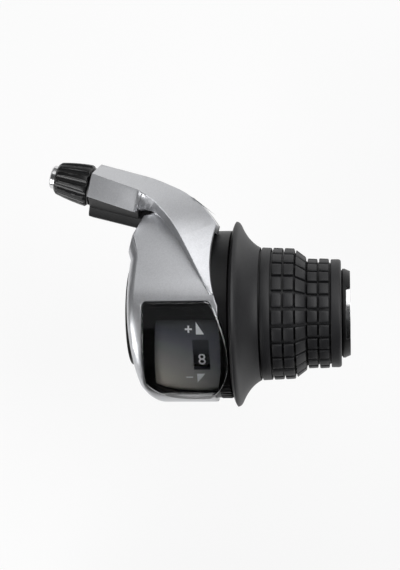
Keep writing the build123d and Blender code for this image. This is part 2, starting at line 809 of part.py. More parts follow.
with BuildPart() as tube_end_ring:
    ring(tube_end - end_ring_length, tube_end, tube_bore, tube_bore + end_ring_wall)
    block((0, -static_gap * 3, -2 * tube_radius), (tube_end + 1, static_gap * 3, 0), Mode.SUBTRACT)
tube_end_ring.part.label = "tube_end_ring"
export_step(tube_end_ring.part, "parts/tube_end_ring.step")

with BuildPart() as detent_spring:
    leaf_tip = -(spool_top - notch_depth + static_gap + leaf_thickness / 2)
    leaf_low = ledge_top + leaf_thickness / 2
    with BuildSketch(Plane.YZ.offset(leaf_x - leaf_width / 2)):
        with BuildLine() as leaf:
            bend_z = leaf_low + leaf_rise
            bump_z = leaf_tip - bump_height
            start = (-leaf_half_span, leaf_low)
            rise = Polyline(start, (-leaf_shoulder, bend_z), (-bump_width / 2, bump_z))
            bump = ThreePointArc(rise @ 1, (0, leaf_tip), (bump_width / 2, bump_z))
            Polyline(bump @ 1, (leaf_shoulder, bend_z), (leaf_half_span, leaf_low))
        trace(leaf.edges(), leaf_thickness)
    extrude(amount=leaf_width)
detent_spring.part.label = "detent_spring"
export_step(detent_spring.part, "parts/detent_spring.step")

with BuildPart() as clamp_screw:
    with BuildSketch(Plane.XZ.offset(ear_reach - screw_seat + static_gap)):
        with Locations((0, screw_z)):
            Circle(clamp_head_radius)
    extrude(amount=clamp_head_length)
    with BuildSketch(Plane.XZ.offset(ear_reach - screw_seat + static_gap)):
        with Locations((0, screw_z)):
            Circle(clamp_screw_radius)
    extrude(amount=-(2 * ear_reach - screw_seat))
    with BuildSketch(Plane.XZ.offset(ear_reach - screw_seat + static_gap + clamp_head_length)):
        with Locations((0, screw_z)):
            RegularPolygon(clamp_screw_radius, 6, major_radius=False)
    extrude(amount=-clamp_head_length * 0.6, mode=Mode.SUBTRACT)
clamp_screw.part.label = "clamp_screw"
export_step(clamp_screw.part, "parts/clamp_screw.step")

with BuildPart() as clamp_nut:
    with BuildSketch(Plane.XZ.offset(screw_seat - ear_reach - static_gap)):
        with Locations((0, screw_z)):
            RegularPolygon(clamp_nut_radius, 6)
            Circle(clamp_screw_radius + running_gap, mode=Mode.SUBTRACT)
    extrude(amount=-clamp_head_length)
clamp_nut.part.label = "clamp_nut"
export_step(clamp_nut.part, "parts/clamp_nut.step")

with BuildPart() as cover_screws:
    for place in cover_screw_places:
        with Locations((*place, floor_bottom)):
            Cylinder(cover_screw_head, cover_screw_radius, align=(Align.CENTER, Align.CENTER, Align.MAX))
            Cylinder(cover_screw_radius, cover_screw_length, align=(Align.CENTER, Align.CENTER, Align.MIN))
cover_screws.part.label = "cover_screws"
export_step(cover_screws.part, "parts/cover_screws.step")

# All within the drum's outside, save for the plug's shank, is kept clear of the plug's lip
with BuildPart() as lip_room:
    ring(0, 2 * drum_end, 0, drum_radius + static_gap)
    with BuildSketch(plug_plane):
        Circle(plug_radius)
    extrude(amount=2 * drum_radius, mode=Mode.SUBTRACT)

with BuildPart() as cable_plug:
    with BuildSketch(plug_plane.offset(drum_bore)):
        Circle(plug_radius)
    extrude(amount=2 * drum_wall)
    with BuildSketch(plug_plane.offset(drum_radius - plug_radius)):
        Circle(plug_radius + plug_lip)
    extrude(amount=2 * plug_radius)
    ring(0, 2 * drum_end, drum_bore - static_gap, drum_radius + plug_head, mode=Mode.INTERSECT)
    add(lip_room.part, mode=Mode.SUBTRACT)
cable_plug.part.label = "cable_plug"
export_step(cable_plug.part, "parts/cable_plug.step")

with BuildPart() as cable_guide:
    with BuildSketch(Plane((cable_x, guide_start, arm_axis_z), z_dir=(0, 1, 0))):
        Circle(guide_radius)
        Circle(guide_bore, mode=Mode.SUBTRACT)
    sweep(path=guide_line(guide_start))
cable_guide.part.label = "cable_guide"
export_step(cable_guide.part, "parts/cable_guide.step")

with BuildPart() as adjuster_insert:
    ring(
        pocket_depth + static_gap,
        insert_end,
        bolt_radius + running_gap,
        insert_radius,
        Mode.ADD,
        arm_side,
        arm_axis,
    )
adjuster_insert.part.label = "adjuster_insert"
export_step(adjuster_insert.part, "parts/adjuster_insert.step")

# Barrel adjuster: distances along the arm's axis, negative outside the arm
knob_foot = -(click_ring_thickness + static_gap)
knob_tip = knob_foot - knob_length
bolt_tip = knob_tip - tip_length
socket_outer = socket_radius + socket_wall

with BuildPart() as adjuster_bolt:
    turn(
        [
            (insert_end - static_gap, cable_radius + static_gap),
            (insert_end - static_gap, bolt_radius),
            (knob_foot, bolt_radius),
            (knob_foot, socket_outer),
            (bolt_tip + tip_round, socket_outer),
            (bolt_tip, socket_outer - tip_round),
            (bolt_tip, socket_radius),
            (bolt_tip + socket_depth, socket_radius),
            (bolt_tip + socket_depth, cable_radius + static_gap),
        ],
        plane=arm_side,
        axis=arm_axis,
    )
adjuster_bolt.part.label = "adjuster_bolt"
export_step(adjuster_bolt.part, "parts/adjuster_bolt.step")

with BuildPart() as adjuster_knob:
    knob_end_radius = knob_radius - knob_taper
    with BuildSketch(arm_side) as knob_profile:
        with BuildLine():
            bore_radius = socket_outer + running_gap
            wide = Line((knob_foot, bore_radius), (knob_foot, knob_radius - knob_round))
            swell = ThreePointArc(
                (knob_foot - knob_round, knob_radius),
                (knob_foot - knob_length / 2, knob_radius - knob_taper * 0.35),
                (knob_tip + knob_round, knob_end_radius),
            )
            Line(wide @ 1, swell @ 0)
            Polyline(swell @ 1, (knob_tip, knob_end_radius - knob_round), (knob_tip, bore_radius), wide @ 0)
        make_face()
    revolve(knob_profile.sketch, axis=arm_axis)
    # Flutes along the knob, sunk evenly by following its taper
    flute_middle = knob_radius + flute_radius - flute_depth
    with BuildSketch(arm_section.offset(knob_foot)) as flute_foot:
        with PolarLocations(flute_middle, flute_count):
            Circle(flute_radius)
    with BuildSketch(arm_section.offset(knob_tip)) as flute_tip:
        with PolarLocations(flute_middle - knob_taper, flute_count):
            Circle(flute_radius)
    for wide_end, narrow_end in zip(flute_foot.sketch.faces(), flute_tip.sketch.faces()):
        loft([wide_end, narrow_end], mode=Mode.SUBTRACT)
adjuster_knob.part.label = "adjuster_knob"
export_step(adjuster_knob.part, "parts/adjuster_knob.step")

with BuildPart() as adjuster_click_ring:
    ring_bore = bolt_radius + running_gap
    turn(
        [
            (knob_foot + static_gap / 2, ring_bore),
            (knob_foot + static_gap / 2, click_ring_radius),
            (-static_gap / 2, click_ring_radius),
            (-static_gap / 2, pocket_radius),
            (skirt_length, pocket_radius),
            (skirt_length, ring_bore),
        ],
        plane=arm_side,
        axis=arm_axis,
    )
    with BuildSketch(arm_section):
        with Locations((0, -pocket_radius)):
            Rectangle(key_width, 2 * key_height)
    extrude(amount=skirt_length)
adjuster_click_ring.part.label = "adjuster_click_ring"
export_step(adjuster_click_ring.part, "parts/adjuster_click_ring.step")

with BuildPart() as adjuster_spring:
    coil_radius = (ring_bore + pocket_radius) / 2
    coil_pitch = (spring_length - 2 * spring_wire) / spring_turns
    coil_start = arm_section.offset(skirt_length + static_gap + spring_wire)
    with BuildLine() as coil:
        coil_height = coil_pitch * spring_turns
        Helix(coil_pitch, coil_height, coil_radius, coil_start.origin, coil_start.z_dir)
    with BuildSketch(Plane(coil.line @ 0, z_dir=coil.line % 0)):
        Circle(spring_wire / 2)
    sweep(path=coil.line, is_frenet=True)
adjuster_spring.part.label = "adjuster_spring"
export_step(adjuster_spring.part, "parts/adjuster_spring.step")
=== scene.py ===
import math

import bpy
from mathutils import Matrix, Vector


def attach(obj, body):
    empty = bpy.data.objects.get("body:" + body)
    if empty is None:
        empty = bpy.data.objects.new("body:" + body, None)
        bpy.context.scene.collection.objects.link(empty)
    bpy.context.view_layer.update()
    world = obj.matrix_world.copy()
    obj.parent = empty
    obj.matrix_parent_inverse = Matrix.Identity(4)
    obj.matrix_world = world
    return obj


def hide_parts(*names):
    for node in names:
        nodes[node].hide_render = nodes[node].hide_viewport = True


# Looks of a twist grip shifter, in metres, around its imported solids
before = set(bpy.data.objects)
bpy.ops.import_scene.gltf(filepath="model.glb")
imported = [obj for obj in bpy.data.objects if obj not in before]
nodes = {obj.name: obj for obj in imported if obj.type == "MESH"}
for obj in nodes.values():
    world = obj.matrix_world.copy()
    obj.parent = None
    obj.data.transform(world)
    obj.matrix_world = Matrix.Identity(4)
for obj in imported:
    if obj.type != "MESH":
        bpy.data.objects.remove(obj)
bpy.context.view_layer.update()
mm = 0.001
weld = 0.002 * mm  # points nearer than this are merged


# Small tools

def toLinear(hexCode):
    channels = [int(hexCode[i:i + 2], 16) / 255 for i in (1, 3, 5)]
    return [c / 12.92 if c <= 0.04045 else ((c + 0.055) / 1.055) ** 2.4 for c in channels] + [1]


# A node with its settings, its links and values, and the stops of its ramp
def addNode(material, kind, inputs, stops=(), **settings):
    node = material.node_tree.nodes.new(kind)
    for name, value in settings.items():
        setattr(node, name, value)
    for key, value in inputs.items():
        if isinstance(value, bpy.types.NodeSocket):
            material.node_tree.links.new(value, node.inputs[key])
        else:
            node.inputs[key].default_value = value
    if stops:
        elements = node.color_ramp.elements
        while len(elements) < len(stops):
            elements.new(0.5)
        for element, (position, hexCode) in zip(elements, stops):
            element.position = position
            element.color = toLinear(hexCode)
    return node


# An empty material and its object coordinates
def newMaterial(name):
    material = bpy.data.materials.new(name)
    material.use_nodes = True
    material.node_tree.nodes.clear()
    place = addNode(material, "ShaderNodeTexCoord", {}).outputs["Object"]
    return material, place


def surfaceOf(material, shader):
    addNode(material, "ShaderNodeOutputMaterial", {"Surface": shader.outputs[0]})
    return material


def perMm(size):
    return 1 / (size * mm)  # texture scale for a pattern of that size


def deselectAll():
    if bpy.context.object and bpy.context.object.mode != "OBJECT":
        bpy.ops.object.mode_set(mode="OBJECT")
    bpy.ops.object.select_all(action="DESELECT")


def startOn(piece):
    deselectAll()
    piece.select_set(True)
    bpy.context.view_layer.objects.active = piece


def selectFaces(piece, wanted):
    bpy.ops.object.mode_set(mode="OBJECT")
    for part in (piece.data.vertices, piece.data.edges):
        part.foreach_set("select", [False] * len(part))
    for face in piece.data.polygons:
        face.select = wanted(face.center)
    bpy.ops.object.mode_set(mode="EDIT")
    bpy.ops.mesh.select_mode(type="FACE")


def selectPoints(piece, wanted):
    bpy.ops.object.mode_set(mode="EDIT")
    bpy.ops.mesh.select_mode(type="VERT")
    bpy.ops.mesh.select_all(action="DESELECT")
    bpy.ops.object.mode_set(mode="OBJECT")
    for vertex in piece.data.vertices:
        vertex.select = wanted(vertex.co / mm)
    bpy.ops.object.mode_set(mode="EDIT")


def applyModifier(piece, kind, **settings):
    modifier = piece.modifiers.new(kind.lower(), kind)
    for name, value in settings.items():
        setattr(modifier, name, value)
    bpy.ops.object.modifier_apply(modifier=modifier.name)


# A copy of a solid's mesh, merged into one surface and ready for finishing
def copyOf(nodeName, pieceName):
    piece = bpy.data.objects.new(pieceName, nodes[nodeName].data.copy())
    bpy.context.scene.collection.objects.link(piece)
    piece.data.materials.clear()
    startOn(piece)
    bpy.ops.object.mode_set(mode="EDIT")
    bpy.ops.mesh.select_all(action="SELECT")
    bpy.ops.mesh.remove_doubles(threshold=weld)
    bpy.ops.object.mode_set(mode="OBJECT")
    return piece


def dress(piece, body, material, replaced):
    piece.data.materials.clear()
    piece.data.materials.append(material)
    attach(piece, body)
    if replaced:
        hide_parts(replaced)
    return piece


# Point on a cylinder round the bar: x along it, turned from the top towards the rider
def roundBar(x, degrees, radius):
    turned = math.radians(degrees)
    return Vector((x, -radius * math.sin(turned), radius * math.cos(turned)))


# Materials: pattern sizes are in mm, and the grain is drawn coarser than the real one so that it shows

lacquer = {
    "colours": ("#b6b7ba", "#c9cacd"),
    "rough": (0.34, 0.42),
    "flake": 0.28,
    "drift": 14,
    "peel": 1.1,
    "peelDepth": 0.1,
    "peelStrength": 0.05,
}


def makeSilverPaint():
    # Metallic lacquer on a moulding: fine flake, a soft sheen, slight drift of tone
    material, place = newMaterial("silverMetallicLacquer")
    flake = addNode(material, "ShaderNodeTexVoronoi", {
        "Vector": place, "Scale": perMm(lacquer["flake"])})
    drift = addNode(material, "ShaderNodeTexNoise", {
        "Vector": place, "Scale": perMm(lacquer["drift"]), "Detail": 2.0})
    both = addNode(material, "ShaderNodeMath", {
        0: flake.outputs["Color"], 1: drift.outputs["Fac"]}, operation="ADD")
    tone = addNode(material, "ShaderNodeMapRange", {
        "Value": both.outputs[0], "From Min": 0.3, "From Max": 1.7})
    colour = addNode(material, "ShaderNodeValToRGB", {"Fac": tone.outputs[0]}, stops=[
        (0.0, lacquer["colours"][0]), (1.0, lacquer["colours"][1])])
    rough = addNode(material, "ShaderNodeMapRange", {
        "Value": drift.outputs["Fac"], "To Min": lacquer["rough"][0], "To Max": lacquer["rough"][1]})
    peel = addNode(material, "ShaderNodeTexNoise", {
        "Vector": place, "Scale": perMm(lacquer["peel"]), "Detail": 3.0})
    bump = addNode(material, "ShaderNodeBump", {
        "Height": peel.outputs["Fac"],
        "Strength": lacquer["peelStrength"],
        "Distance": lacquer["peelDepth"] * mm,
    })
    return surfaceOf(material, addNode(material, "ShaderNodeBsdfPrincipled", {
        "Base Color": colour.outputs["Color"],
        "Metallic": 0.85,
        "Roughness": rough.outputs[0],
        "Coat Weight": 0.25,
        "Coat Roughness": 0.2,
        "Normal": bump.outputs["Normal"],
    }))


def makeMoulded(name, colours, rough, grain, depth, shine=0.5):
    # Moulded plastic or rubber: a fine grain from the tool and faint changes of gloss
    material, place = newMaterial(name)
    speckle = addNode(material, "ShaderNodeTexNoise", {
        "Vector": place, "Scale": perMm(grain), "Detail": 4.0})
    drift = addNode(material, "ShaderNodeTexNoise", {
        "Vector": place, "Scale": perMm(9), "Detail": 2.0})
    colour = addNode(material, "ShaderNodeValToRGB", {"Fac": drift.outputs["Fac"]}, stops=[
        (0.3, colours[0]), (0.7, colours[1])])
    gloss = addNode(material, "ShaderNodeMapRange", {
        "Value": speckle.outputs["Fac"], "To Min": rough[0], "To Max": rough[1]})
    bump = addNode(material, "ShaderNodeBump", {
        "Height": speckle.outputs["Fac"], "Strength": depth, "Distance": 0.08 * mm})
    return surfaceOf(material, addNode(material, "ShaderNodeBsdfPrincipled", {
        "Base Color": colour.outputs["Color"],
        "Roughness": gloss.outputs[0],
        "IOR": 1.5,
        "Specular IOR Level": shine,
        "Normal": bump.outputs["Normal"],
    }))


def makeMetal(name, colours, rough, mark):
    # Plated or turned metal: bright, with fine marks that break up the reflections
    material, place = newMaterial(name)
    marks = addNode(material, "ShaderNodeTexNoise", {
        "Vector": place, "Scale": perMm(mark), "Detail": 3.0})
    colour = addNode(material, "ShaderNodeValToRGB", {"Fac": marks.outputs["Fac"]}, stops=[
        (0.3, colours[0]), (0.7, colours[1])])
    gloss = addNode(material, "ShaderNodeMapRange", {
        "Value": marks.outputs["Fac"], "To Min": rough[0], "To Max": rough[1]})
    return surfaceOf(material, addNode(material, "ShaderNodeBsdfPrincipled", {
        "Base Color": colour.outputs["Color"],
        "Metallic": 1.0,
        "Roughness": gloss.outputs[0],
    }))


def makeClearPlastic():
    # Polished clear polycarbonate, with the faintest smear in its gloss
    material, place = newMaterial("clearPolycarbonate")
    smear = addNode(material, "ShaderNodeTexNoise", {
        "Vector": place, "Scale": perMm(6), "Detail": 2.0})
    gloss = addNode(material, "ShaderNodeMapRange", {
        "Value": smear.outputs["Fac"], "To Min": 0.02, "To Max": 0.06})
    return surfaceOf(material, addNode(material, "ShaderNodeBsdfPrincipled", {
        "Base Color": toLinear("#f4f5f6"),
        "Roughness": gloss.outputs[0],
        "IOR": 1.5,
        "Transmission Weight": 1.0,
    }))


# Painted reflection on the film: it grows from the black print at its front edge towards its rear, and
# fades from its inner side to its outer one
displayFilm = {
    "printAndPaintedReflection": [(0.0, "#2b2b2e"), (0.25, "#5f6168"), (0.5, "#93928f"), (1.0, "#d8d0c4")],
    "front": -1.5,
    "rear": -20,
    "inner": 4,
    "outer": 22,
    "outerShare": 0.4,
    "panel": "#303136",
    "panelCentre": (17.1, -11.2),
    "panelHalf": (2.3, 4.2),
    "grain": 0.5,
}


def makeDisplayPrint():
    # Printed film, black in front and with a dark number panel, and a painted reflection that turns it
    # warm grey at the rider's inner corner
    film = displayFilm
    material, place = newMaterial("displayPrintWithPaintedReflection")
    axes = addNode(material, "ShaderNodeSeparateXYZ", {"Vector": place})
    down = addNode(material, "ShaderNodeMapRange", {
        "Value": axes.outputs["Y"], "From Min": film["front"] * mm, "From Max": film["rear"] * mm})
    along = addNode(material, "ShaderNodeMapRange", {
        "Value": axes.outputs["X"],
        "From Min": film["inner"] * mm,
        "From Max": film["outer"] * mm,
        "To Min": 1.0,
        "To Max": film["outerShare"],
    })
    # Painted reflection: its amount grows towards the rear and towards the inner side
    printAndPaintedReflection = addNode(material, "ShaderNodeMath", {
        0: down.outputs[0], 1: along.outputs[0]}, operation="MULTIPLY")
    printAndPaintedReflectionColour = addNode(material, "ShaderNodeValToRGB", {"Fac": printAndPaintedReflection.outputs[0]}, stops=film["printAndPaintedReflection"])
    inside = [
        addNode(material, "ShaderNodeMath", {
            0: axes.outputs[axis], 1: centre * mm, 2: half * mm}, operation="COMPARE").outputs[0]
        for axis, centre, half in zip("XY", film["panelCentre"], film["panelHalf"])
    ]
    panel = addNode(material, "ShaderNodeMath", {0: inside[0], 1: inside[1]}, operation="MULTIPLY")
    colour = addNode(material, "ShaderNodeMix", {
        "Factor": panel.outputs[0],
        6: printAndPaintedReflectionColour.outputs["Color"],
        7: toLinear(film["panel"]),
    }, data_type="RGBA")
    grain = addNode(material, "ShaderNodeTexNoise", {
        "Vector": place, "Scale": perMm(film["grain"]), "Detail": 3.0})
    gloss = addNode(material, "ShaderNodeMapRange", {
        "Value": grain.outputs["Fac"], "To Min": 0.4, "To Max": 0.55})
    return surfaceOf(material, addNode(material, "ShaderNodeBsdfPrincipled", {
        "Base Color": colour.outputs[2], "Roughness": gloss.outputs[0]}))


silverPaint = makeSilverPaint()
blackNylon = makeMoulded(  # satin black with little sheen
    "mouldedBlackNylon", ("#0e0e0f", "#161617"), rough=(0.36, 0.5), grain=0.5, depth=0.12, shine=0.25)
blackGloss = makeMoulded(  # deep black that mirrors the lamps
    "polishedBlackAbs", ("#060607", "#0c0c0d"), rough=(0.12, 0.2), grain=2.0, depth=0.02)
knobPlastic = makeMoulded(  # black with a waxy sheen on the ribs
    "mouldedBlackAcetal", ("#0d0d0e", "#141415"), rough=(0.28, 0.4), grain=0.6, depth=0.08)
rubber = makeMoulded(  # charcoal, dull, with a gritty skin
    "mouldedGripRubber", ("#19191b", "#212123"), rough=(0.44, 0.58), grain=0.35, depth=0.3, shine=0.45)
ringPlastic = makeMoulded(  # even dark grey behind the numbers
    "mouldedIndicatorPlastic", ("#1a1a1b", "#222223"), rough=(0.4, 0.5), grain=0.6, depth=0.05)
whiteAcetal = makeMoulded(  # milky white of an inner working part
    "mouldedWhiteAcetal", ("#d8d7d0", "#e4e3dd"), rough=(0.4, 0.5), grain=0.8, depth=0.05)
plugRubber = makeMoulded(  # soft matt black
    "mouldedPlugRubber", ("#1d1d1e", "#262627"), rough=(0.6, 0.75), grain=0.5, depth=0.25)
printInk = makeMoulded(  # flat white print
    "whitePrintInk", ("#eceeef", "#f4f5f6"), rough=(0.45, 0.55), grain=0.8, depth=0.02)
brightSteel = makeMetal(  # near mirror with a faint cloud
    "polishedPlatedSteel", ("#c9c9ca", "#dededf"), rough=(0.12, 0.24), mark=0.8)
zincSteel = makeMetal(  # dull silver of small fasteners
    "zincPlatedSteel", ("#a9abad", "#bcbdbf"), rough=(0.28, 0.42), mark=0.7)
brass = makeMetal(  # yellow, lightly scratched
    "turnedBrass", ("#b08d4a", "#c2a060"), rough=(0.25, 0.38), mark=0.6)
clearPlastic = makeClearPlastic()
displayPrintAndReflection = makeDisplayPrint()
print("materials made:", len(bpy.data.materials))


# Solids that keep their own mesh, mostly inside, and take a finish
inner = {
    "cable_spool": whiteAcetal,
    "cable_guide": whiteAcetal,
    "grip_sleeve": blackNylon,
    "thrust_washer": zincSteel,
    "detent_spring": zincSteel,
    "adjuster_spring": zincSteel,
    "adjuster_insert": brass,
    "indicator_ring": ringPlastic,
    "display_plate": displayPrintAndReflection,
}
for nodeName, material in inner.items():
    nodes[nodeName].data.materials.clear()
    nodes[nodeName].data.materials.append(material)


# Hard pieces: the solid's surface with its sharp edges broken, in mm, and its curves smoothed
edgeFinish = {"segments": 3, "sharpFrom": 30, "smoothTo": 40}  # the last two in degrees
hardPieces = {
    "top_cover": {"piece": "coverShell", "body": "housing", "finish": silverPaint, "edge": 0.25},
    "base_bracket": {"piece": "baseBracket", "body": "housing", "finish": blackNylon, "edge": 0.2},
    "window_frame": {"piece": "windowFrame", "body": "housing", "finish": blackGloss, "edge": 0.15},
    "window_lens": {"piece": "windowLens", "body": "housing", "finish": clearPlastic, "edge": 0.3},
    "tube_end_ring": {"piece": "tubeEndRing", "body": "housing", "finish": brightSteel, "edge": 0.1},
    "clamp_screw": {"piece": "clampScrew", "body": "housing", "finish": zincSteel, "edge": 0.25},
    "clamp_nut": {"piece": "clampNut", "body": "housing", "finish": zincSteel, "edge": 0.25},
    "cover_screws": {"piece": "coverScrews", "body": "housing", "finish": zincSteel, "edge": 0.15},
    "cable_plug": {"piece": "cablePlug", "body": "housing", "finish": plugRubber, "edge": 0.2},
    "adjuster_knob": {
        "piece": "adjusterKnob", "body": "adjuster_screw", "finish": knobPlastic, "edge": 0.15},
    "adjuster_bolt": {
        "piece": "adjusterBolt", "body": "adjuster_screw", "finish": brightSteel, "edge": 0.12},
    "adjuster_click_ring": {
        "piece": "adjusterClickRing", "body": "adjuster_slide", "finish": knobPlastic, "edge": 0.1},
}
# The front screw stands a little too near the duct's wall: it is set inwards and its slit is closed
frontScrew = {
    "axis": (13.7, 32.6),
    "hole": 1.2,
    "roundness": 0.01,
    "inwards": (-0.9, -1.1),
    "outboardOf": 9,  # the other screw lies inboard of this
    "wallFrom": 33,  # the wall lies forward of this
    "slit": (14.2, 14.63),  # its place along the bar
    "foot": (8.9, 9.1),  # heights at which its two ends are found
    "top": (14.3, 14.4),
}


def onScrewHole(point):
    across = math.hypot(point.x - frontScrew["axis"][0], point.y - frontScrew["axis"][1])
    onWall = point.y > frontScrew["wallFrom"] and point.z > frontScrew["foot"][0]
    return onWall and abs(across - frontScrew["hole"]) < frontScrew["roundness"]


def onSlit(point):
    (left, right), (low, high) = frontScrew["slit"], frontScrew["top"]
    atEnd = point.z < frontScrew["foot"][1] or low < point.z < high
    return onScrewHole(point) and left < point.x < right and atEnd


def onWallTop(point):
    return onScrewHole(point) and point.z > frontScrew["top"][0]


def setScrewInwards(screws):
    selectPoints(screws, lambda point: point.x > frontScrew["outboardOf"])
    bpy.ops.transform.translate(value=[step * mm for step in frontScrew["inwards"]] + [0])


def closeSlit(cover):
    for wanted in (onSlit, onWallTop):
        selectPoints(cover, wanted)
        bpy.ops.mesh.edge_face_add()


mends = {"cover_screws": setScrewInwards, "top_cover": closeSlit}
for nodeName, settings in hardPieces.items():
    piece = copyOf(nodeName, settings["piece"])
    if nodeName in mends:
        mends[nodeName](piece)
        startOn(piece)
    applyModifier(
        piece, "BEVEL", width=settings["edge"] * mm, segments=edgeFinish["segments"],
        limit_method="ANGLE", angle_limit=math.radians(edgeFinish["sharpFrom"]),
        use_clamp_overlap=False, harden_normals=True,
    )
    bpy.ops.object.shade_smooth_by_angle(angle=math.radians(edgeFinish["smoothTo"]))
    applyModifier(piece, "WEIGHTED_NORMAL", keep_sharp=True)
    dress(piece, settings["body"], settings["finish"], nodeName)
    print("hard piece", settings["piece"], len(piece.data.polygons), "faces")


# Rubber grip: its section spun round the bar, then the tread's blocks pulled out of the skin
# Points are a place along the bar and a radius, in mm
gripRubber = {
    "columns": 144,
    "blocksRound": 24,
    "firstGroove": 4.2,  # degrees forward of the top
    "grooveColumns": 0.6,
    "left": 25.03,
    "right": 56.5,
    "neck": 20.05,
    "footRadius": 24.4,
    "tip": (26.08, 27.4),
    "lipBend": (0.45, -1.15),  # from the left end and the tip
    "crown": (1.3, -1.2),  # from the tip, as is its bend
    "crownBend": (0.75, -0.35),
    "sweepBend": (2.4, -4.0),  # from the crown
    "steps": {"lip": 6, "crown": 5, "sweep": 12, "collar": 4},
    "treadStart": 33.2,
    "pitch": 3.34,
    "ringGroove": 0.55,
    "depth": 1.1,
    "skinReach": 0.3,
    "rowEnds": [  # radius at the two ends of each row of blocks
        (19.65, 19.51), (19.51, 19.37), (19.37, 19.23), (18.7, 16.7), (16.2, 16.06), (16.2, 16.06)],
    "collar": 15.9,
    "collarEdge": 0.2,
    "collarRound": 0.8,
    "roundShare": 0.3,
    "inside": [
        (56.5, 14.65), (46.56, 14.65), (43.22, 17.05), (31.53, 17.05), (26.7, 24.65), (25.58, 24.65)],
    "edge": 0.26,
    "weld": 0.005,
    "smoothTo": 38,
}


def moved(point, step):
    return point[0] + step[0], point[1] + step[1]


def arcPoints(first, middle, last, count):
    # Quadratic through the middle point, close enough to an arc for a short sweep
    pull = [2 * middle[i] - (first[i] + last[i]) / 2 for i in range(2)]
    points = []
    for step in range(1, count + 1):
        t = step / count
        points.append(tuple(
            (1 - t) ** 2 * first[i] + 2 * t * (1 - t) * pull[i] + t * t * last[i]
            for i in range(2)))
    return points


def gripSection():
    sizes, steps = gripRubber, gripRubber["steps"]
    left, right, tip, depth = sizes["left"], sizes["right"], sizes["tip"], sizes["depth"]
    collar, collarRound, halfGroove = sizes["collar"], sizes["collarRound"], sizes["ringGroove"] / 2
    foot = (left, sizes["footRadius"])
    crown = moved(tip, sizes["crown"])
    sweepEnd = (sizes["treadStart"] - halfGroove, sizes["rowEnds"][0][0])
    section = [(left, sizes["neck"]), foot]
    section += arcPoints(foot, moved((left, tip[1]), sizes["lipBend"]), tip, steps["lip"])
    section += arcPoints(tip, moved(tip, sizes["crownBend"]), crown, steps["crown"])
    section += arcPoints(crown, moved(crown, sizes["sweepBend"]), sweepEnd, steps["sweep"])
    section.append((sweepEnd[0], sweepEnd[1] - depth))
    for row, (first, last) in enumerate(sizes["rowEnds"]):
        rowStart = sizes["treadStart"] + row * sizes["pitch"]
        section.append((rowStart + halfGroove, first - depth))
        section.append((rowStart + sizes["pitch"] - halfGroove, last - depth))
    treadEnd = sizes["treadStart"] + len(sizes["rowEnds"]) * sizes["pitch"] + halfGroove
    section.append((treadEnd, collar - depth))
    section.append((treadEnd, collar - sizes["collarEdge"]))
    section.append((treadEnd + sizes["collarEdge"], collar))
    collarEdge, collarFace = (right - collarRound, collar), (right, collar - collarRound)
    inset = sizes["roundShare"] * collarRound
    section.append(collarEdge)
    section += arcPoints(collarEdge, (right - inset, collar - inset), collarFace, steps["collar"])
    return section + sizes["inside"] + [(sizes["inside"][-1][0], sizes["neck"])]


deselectAll()
section = gripSection()
bpy.ops.mesh.primitive_circle_add(vertices=len(section), radius=mm, fill_type="NOTHING")
grip = bpy.context.object
grip.name = "gripRubber"
columnAngle = 360 / gripRubber["columns"]
startAngle = -(gripRubber["firstGroove"] - columnAngle / 2)
for vertex, (x, radius) in zip(grip.data.vertices, section):
    vertex.co = roundBar(x * mm, startAngle, radius * mm)
bpy.ops.object.mode_set(mode="EDIT")
bpy.ops.mesh.select_all(action="SELECT")
bpy.ops.mesh.spin(
    steps=gripRubber["columns"], angle=2 * math.pi, center=(0, 0, 0), axis=(1, 0, 0))
bpy.ops.mesh.select_all(action="SELECT")
bpy.ops.mesh.remove_doubles(threshold=gripRubber["weld"] * mm)
bpy.ops.mesh.normals_make_consistent(inside=False)
blockAngle = 360 / gripRubber["blocksRound"]


def inBlock(center, row):
    left = gripRubber["treadStart"] + row * gripRubber["pitch"] + gripRubber["ringGroove"] / 2
    right = left + gripRubber["pitch"] - gripRubber["ringGroove"]
    first, last = gripRubber["rowEnds"][row]
    radius = math.hypot(center.y, center.z) / mm
    onSkin = abs(radius + gripRubber["depth"] - (first + last) / 2) < gripRubber["skinReach"]
    forward = math.degrees(math.atan2(center.y, center.z)) - gripRubber["firstGroove"]
    fromGroove = abs((forward + blockAngle / 2) % blockAngle - blockAngle / 2)
    offGroove = fromGroove > columnAngle * gripRubber["grooveColumns"]
    return left < center.x / mm < right and onSkin and offGroove


for row, (first, last) in enumerate(gripRubber["rowEnds"]):
    selectFaces(grip, lambda center: inBlock(center, row))
    skin = (first + last) / 2 - gripRubber["depth"]
    rise = (skin + gripRubber["depth"]) / skin
    bpy.ops.mesh.extrude_region_move()
    bpy.ops.transform.resize(value=(1, rise, rise), center_override=(0, 0, 0))
    bpy.ops.mesh.region_to_loop()
    bpy.ops.mesh.bevel(offset=gripRubber["edge"] * mm, segments=2, affect="EDGES")
startOn(grip)
bpy.ops.object.shade_smooth_by_angle(angle=math.radians(gripRubber["smoothTo"]))
dress(grip, "twist_grip", rubber, "grip_rubber")
print("grip", len(grip.data.polygons), "faces")


# Printed signs: flat marks made as meshes, then laid round the bar
def layRound(piece, x, degrees, radius):
    startOn(piece)
    bpy.ops.object.transform_apply(location=True, rotation=True, scale=True)
    for vertex in piece.data.vertices:
        u, v, lift = vertex.co
        around = degrees - math.degrees(v / radius)
        vertex.co = roundBar(x + u, around, radius + lift)
    return piece


def joinPieces(pieces, name):
    startOn(pieces[0])
    for piece in pieces:
        piece.select_set(True)
    bpy.ops.object.join()
    pieces[0].name = name
    return pieces[0]


# The last gear's number is in the window at rest, and the others follow at one click each
gearNumbers = {
    "count": 8,
    "x": 17.1,
    "angle": 34.7,  # of the last number, in degrees towards the rider
    "click": 10.0,
    "radius": 22.2,
    "lift": 0.06,
    "height": 3.6,
    "heightShare": 0.7,  # of the font's size
    "narrow": 0.9,
    "ink": 0.03,
}


